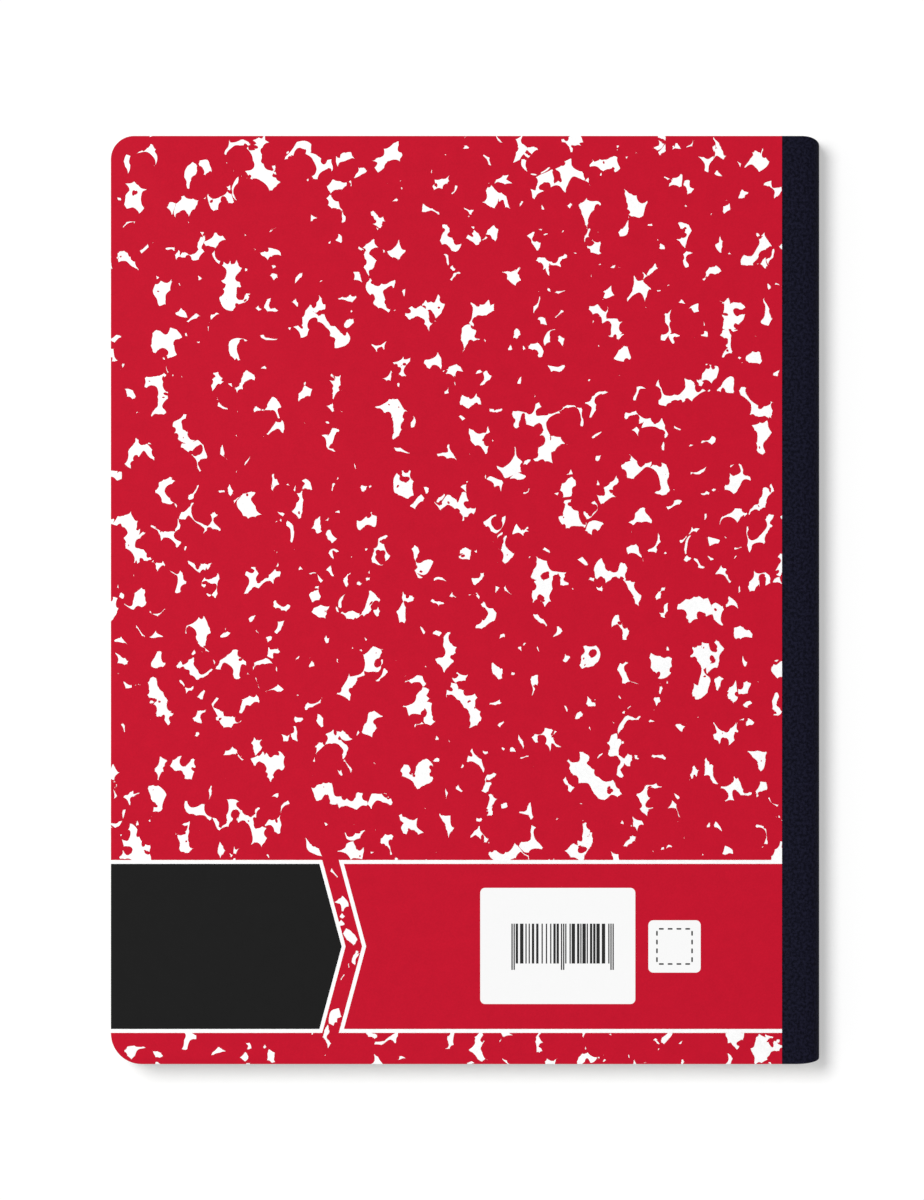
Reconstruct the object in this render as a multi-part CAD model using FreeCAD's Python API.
import FreeCAD, Part

import math
import os

# A sewn composition notebook, lying closed on its front cover with the back cover on top.
# One signature of folded sheets is sewn through its fold. Two card covers are held to it by
# a cloth tape, glued around the spine and over the covers' spine edges. After that the book
# is trimmed in one cut, so that pages and covers end flush and share their round corners.
#
# Frame: millimetres. +X runs from the fore edge to the spine, +Y from tail to head, +Z from
# the front cover to the back cover. The origin is at the middle of the face it lies on.

Vector = FreeCAD.Vector

# Trimmed size
book_width = 189.1
book_height = 247.65
fore_corner_radius_head = 6.2
fore_corner_radius_tail = 8.2

# The spine's ends are nipped in: how far along the spine edge, and how deep
nip_length_head = 4.7
nip_depth_head = 2.5
nip_length_tail = 6.4
nip_depth_tail = 1.6

# Sheets: each is folded once, and counts as two leaves
leaf_count = 100
leaf_pitch = 0.094

# Covers: grey board with printed paper outside and a plain endpaper inside
board_thickness = 0.68
print_paper_thickness = 0.18
endpaper_thickness = 0.10
cover_gap = 0.06

# Spine: the tape is as thick as the printed paper that it butts against
tape_thickness = print_paper_thickness
tape_flange = 10.0
spine_radius = 4.2
hinge_gap = 1.0
spine_glue_gap = 0.05
shoulder_start = 0.15
shoulder_run = 0.8

# Sewing: a lockstitch, with the needle thread outside the fold and the bobbin thread inside
thread_diameter = 0.30
thread_clearance = 0.03
stitch_length = 8.0
thread_sides = 6
head_margin = 4.0

# Worked out from the sizes above
fore_x = -book_width / 2
spine_x = book_width / 2
tail_y = -book_height / 2
head_y = book_height / 2
cover_thickness = board_thickness + print_paper_thickness + endpaper_thickness
block_thickness = leaf_count * leaf_pitch
book_thickness = block_thickness + 2 * (cover_thickness + cover_gap)
middle_z = book_thickness / 2
round_x = spine_x - spine_radius
board_edge_x = round_x - hinge_gap
tape_edge_x = spine_x - tape_flange

# The seam, in the plane halfway between the covers
fold_inset = tape_thickness + spine_glue_gap
fold_x = spine_x - fold_inset
groove_depth = thread_diameter + 2 * thread_clearance
outer_thread_x = fold_x - groove_depth / 2
strand_offset = thread_diameter + thread_clearance
inner_fold_x = fold_x - block_thickness / 2
bobbin_x = inner_fold_x - strand_offset
loop_x = bobbin_x - strand_offset
thread_reach = strand_offset + thread_diameter / 2
needle_hole_radius = thread_reach + thread_clearance
gutter_radius = math.hypot(thread_reach, thread_reach) + thread_clearance


def line(x1, y1, x2, y2):
    return Part.LineSegment(Vector(x1, y1, 0), Vector(x2, y2, 0)).toShape()


def quarter_round(start, corner, end):
    """A quarter of an ellipse from start to end, tangent to the lines that meet at corner."""
    share = 4 / 3 * (math.sqrt(2) - 1)
    start, corner, end = (Vector(*p, 0) for p in (start, corner, end))
    curve = Part.BezierCurve()
    curve.setPoles([start, start + (corner - start) * share, end + (corner - end) * share, end])
    return curve.toShape()


def round_arc(centre_x, centre_y, radius, first_degree, last_degree):
    """A true arc of a circle, by three of its points."""
    points = []
    for degree in (first_degree, (first_degree + last_degree) / 2, last_degree):
        angle = math.radians(degree)
        points.append(
            Vector(centre_x + radius * math.cos(angle), centre_y + radius * math.sin(angle), 0)
        )
    return Part.Arc(*points).toShape()


def prism(edges, start, direction):
    """The face inside a closed run of edges, moved to start and pushed along direction."""
    face = Part.Face(Part.Wire(Part.__sortEdges__(edges)))
    face.translate(start)
    return face.extrude(direction)


def trim_edges():
    """The cut outline of the whole book, seen from above."""
    tail, head = fore_corner_radius_tail, fore_corner_radius_head
    return [
        line(fore_x + tail, tail_y, spine_x - nip_length_tail, tail_y),
        quarter_round(
            (spine_x - nip_length_tail, tail_y),
            (spine_x, tail_y),
            (spine_x, tail_y + nip_depth_tail),
        ),
        line(spine_x, tail_y + nip_depth_tail, spine_x, head_y - nip_depth_head),
        quarter_round(
            (spine_x, head_y - nip_depth_head),
            (spine_x, head_y),
            (spine_x - nip_length_head, head_y),
        ),
        line(spine_x - nip_length_head, head_y, fore_x + head, head_y),
        round_arc(fore_x + head, head_y - head, head, 90, 180),
        line(fore_x, head_y - head, fore_x, tail_y + tail),
        round_arc(fore_x + tail, tail_y + tail, tail, 180, 270),
    ]


def trimmed(shape):
    """The shape as the trimming knife leaves it."""
    cut = prism(trim_edges(), Vector(0, 0, 0), Vector(0, 0, book_thickness))
    return shape.common(cut)


def layer(bottom_z, thickness, edge_x):
    """One flat layer of a cover, from the fore edge to edge_x, trimmed with the book."""
    sheet = Part.makeBox(
        edge_x - fore_x, book_height, thickness, Vector(fore_x, tail_y, bottom_z)
    )
    return trimmed(sheet)


def along_spine(edges):
    """A section drawn with x across the book and y as height, run from tail to head."""
    solid = prism(edges, Vector(0, 0, 0), Vector(0, 0, book_height))
    solid.rotate(Vector(0, 0, 0), Vector(1, 0, 0), 90)
    solid.translate(Vector(0, head_y, 0))
    return trimmed(solid)


def front_cover():
    """Printed paper below, board, and endpaper against the pages."""
    board_z = print_paper_thickness
    return {
        "front_cover_paper": layer(0, print_paper_thickness, tape_edge_x),
        "front_board": layer(board_z, board_thickness, board_edge_x),
        "front_endpaper": layer(board_z + board_thickness, endpaper_thickness, board_edge_x),
    }


def back_cover():
    """The same layers as the front cover, turned over and laid on the pages."""
    endpaper_z = book_thickness - cover_thickness
    board_z = endpaper_z + endpaper_thickness
    return {
        "back_endpaper": layer(endpaper_z, endpaper_thickness, board_edge_x),
        "back_board": layer(board_z, board_thickness, board_edge_x),
        "back_cover_paper": layer(
            board_z + board_thickness, print_paper_thickness, tape_edge_x
        ),
    }


def spine_tape():
    """A strip of cloth tape: flat over each cover's edge, and round the fold between them."""
    top = book_thickness
    inner_radius = spine_radius - tape_thickness
    inner_x = spine_x - tape_thickness
    return along_spine([
        line(tape_edge_x, top, round_x, top),
        round_arc(round_x, top - spine_radius, spine_radius, 90, 0),
        line(spine_x, top - spine_radius, spine_x, spine_radius),
        round_arc(round_x, spine_radius, spine_radius, 0, -90),
        line(round_x, 0, tape_edge_x, 0),
        line(tape_edge_x, 0, tape_edge_x, tape_thickness),
        line(tape_edge_x, tape_thickness, round_x, tape_thickness),
        round_arc(round_x, spine_radius, inner_radius, -90, 0),
        line(inner_x, spine_radius, inner_x, top - spine_radius),
        round_arc(round_x, top - spine_radius, inner_radius, 0, 90),
        line(round_x, top - tape_thickness, tape_edge_x, top - tape_thickness),
        line(tape_edge_x, top - tape_thickness, tape_edge_x, top),
    ])


def shoulder(flat_z, fold_z):
    """Where the pages swell up beside a board's edge, as an S from the flat to the fold."""
    start_x = board_edge_x + shoulder_start
    middle_x = start_x + shoulder_run / 2
    curve = Part.BezierCurve()
    curve.setPoles([
        Vector(start_x, flat_z, 0),
        Vector(middle_x, flat_z, 0),
        Vector(middle_x, fold_z, 0),
        Vector(start_x + shoulder_run, fold_z, 0),
    ])
    return curve.toShape()


def folded_sheets():
    """All sheets as one solid: flat between the boards, swollen and round at the fold."""
    bottom = cover_thickness + cover_gap
    top = bottom + block_thickness
    fold_bottom = fold_inset
    fold_top = book_thickness - fold_inset
    radius = spine_radius - fold_inset
    flat_end = board_edge_x + shoulder_start
    swell_end = flat_end + shoulder_run
    return along_spine([
        line(fore_x, bottom, flat_end, bottom),
        shoulder(bottom, fold_bottom),
        line(swell_end, fold_bottom, round_x, fold_bottom),
        round_arc(round_x, spine_radius, radius, -90, 0),
        line(fold_x, spine_radius, fold_x, book_thickness - spine_radius),
        round_arc(round_x, book_thickness - spine_radius, radius, 0, 90),
        line(round_x, fold_top, swell_end, fold_top),
        shoulder(top, fold_top),
        line(flat_end, top, fore_x, top),
        line(fore_x, top, fore_x, bottom),
    ])


def stitch_places():
    """The needle holes' places along the spine, evenly spaced and centred on the fold."""
    room = book_height - 2 * head_margin
    count = max(2, int(room / stitch_length) + 1)
    first = -stitch_length * (count - 1) / 2
    return [first + stitch_length * i for i in range(count)]


def along_book(radius, x):
    """A round bar from tail to head at half the book's thickness."""
    return Part.makeCylinder(radius, book_height, Vector(x, tail_y, middle_z), Vector(0, 1, 0))


def page_block():
    """The folded sheets with a groove, needle holes and the open gutter for the thread."""
    block = folded_sheets()
    groove = Part.makeBox(
        groove_depth,
        book_height,
        2 * needle_hole_radius,
        Vector(fold_x - groove_depth, tail_y, middle_z - needle_hole_radius),
    )
    holes = [
        Part.makeCylinder(
            needle_hole_radius, fold_x - bobbin_x, Vector(bobbin_x, y, middle_z), Vector(1, 0, 0)
        )
        for y in stitch_places()
    ]
    return block.cut([groove, along_book(gutter_radius, bobbin_x), *holes])


def thread(points):
    """A thread of few flat sides along straight runs, with mitred bends."""
    path = Part.makePolygon(points)
    direction = (points[1] - points[0]).normalize()
    radius = thread_diameter / 2
    side = direction.cross(Vector(1, 0, 0))
    across = side if side.Length > 0.5 else direction.cross(Vector(0, 0, 1))
    across.normalize()
    up = direction.cross(across)
    corners = []
    for i in range(thread_sides + 1):
        angle = 2 * math.pi * i / thread_sides
        corners.append(
            points[0] + across * (radius * math.cos(angle)) + up * (radius * math.sin(angle))
        )
    pipe = Part.BRepOffsetAPI.MakePipeShell(path)
    pipe.setTransitionMode(1)
    pipe.add(Part.makePolygon(corners))
    pipe.build()
    pipe.makeSolid()
    return pipe.shape()


def seam_ends():
    """Where the seam is cut at tail and head, inside the nipped ends of the spine."""
    return (
        tail_y + nip_depth_tail + thread_clearance,
        head_y - nip_depth_head - thread_clearance,
    )


def needle_thread():
    """Along the fold outside, and in each hole a loop around the bobbin thread."""
    tail_end, head_end = seam_ends()
    side = 1
    points = [Vector(outer_thread_x, tail_end, middle_z + side * strand_offset)]
    for y in stitch_places():
        near, far = middle_z + side * strand_offset, middle_z - side * strand_offset
        points += [
            Vector(outer_thread_x, y, near),
            Vector(loop_x, y, near),
            Vector(loop_x, y, far),
            Vector(outer_thread_x, y, far),
        ]
        side = -side
    points.append(Vector(outer_thread_x, head_end, middle_z + side * strand_offset))
    return thread(points)


def bobbin_thread():
    """Straight through every loop, inside the innermost fold."""
    tail_end, head_end = seam_ends()
    return thread([Vector(bobbin_x, tail_end, middle_z), Vector(bobbin_x, head_end, middle_z)])


def main():
    os.makedirs("parts", exist_ok=True)
    nodes = {
        **front_cover(),
        **back_cover(),
        "page_block": page_block(),
        "spine_tape": spine_tape(),
        "needle_thread": needle_thread(),
        "bobbin_thread": bobbin_thread(),
    }
    for name, shape in nodes.items():
        shape.exportStep("parts/" + name + ".step")
        print(name, "solids", len(shape.Solids), "valid", shape.isValid(),
              "volume_mm3", round(shape.Volume, 1))


main()
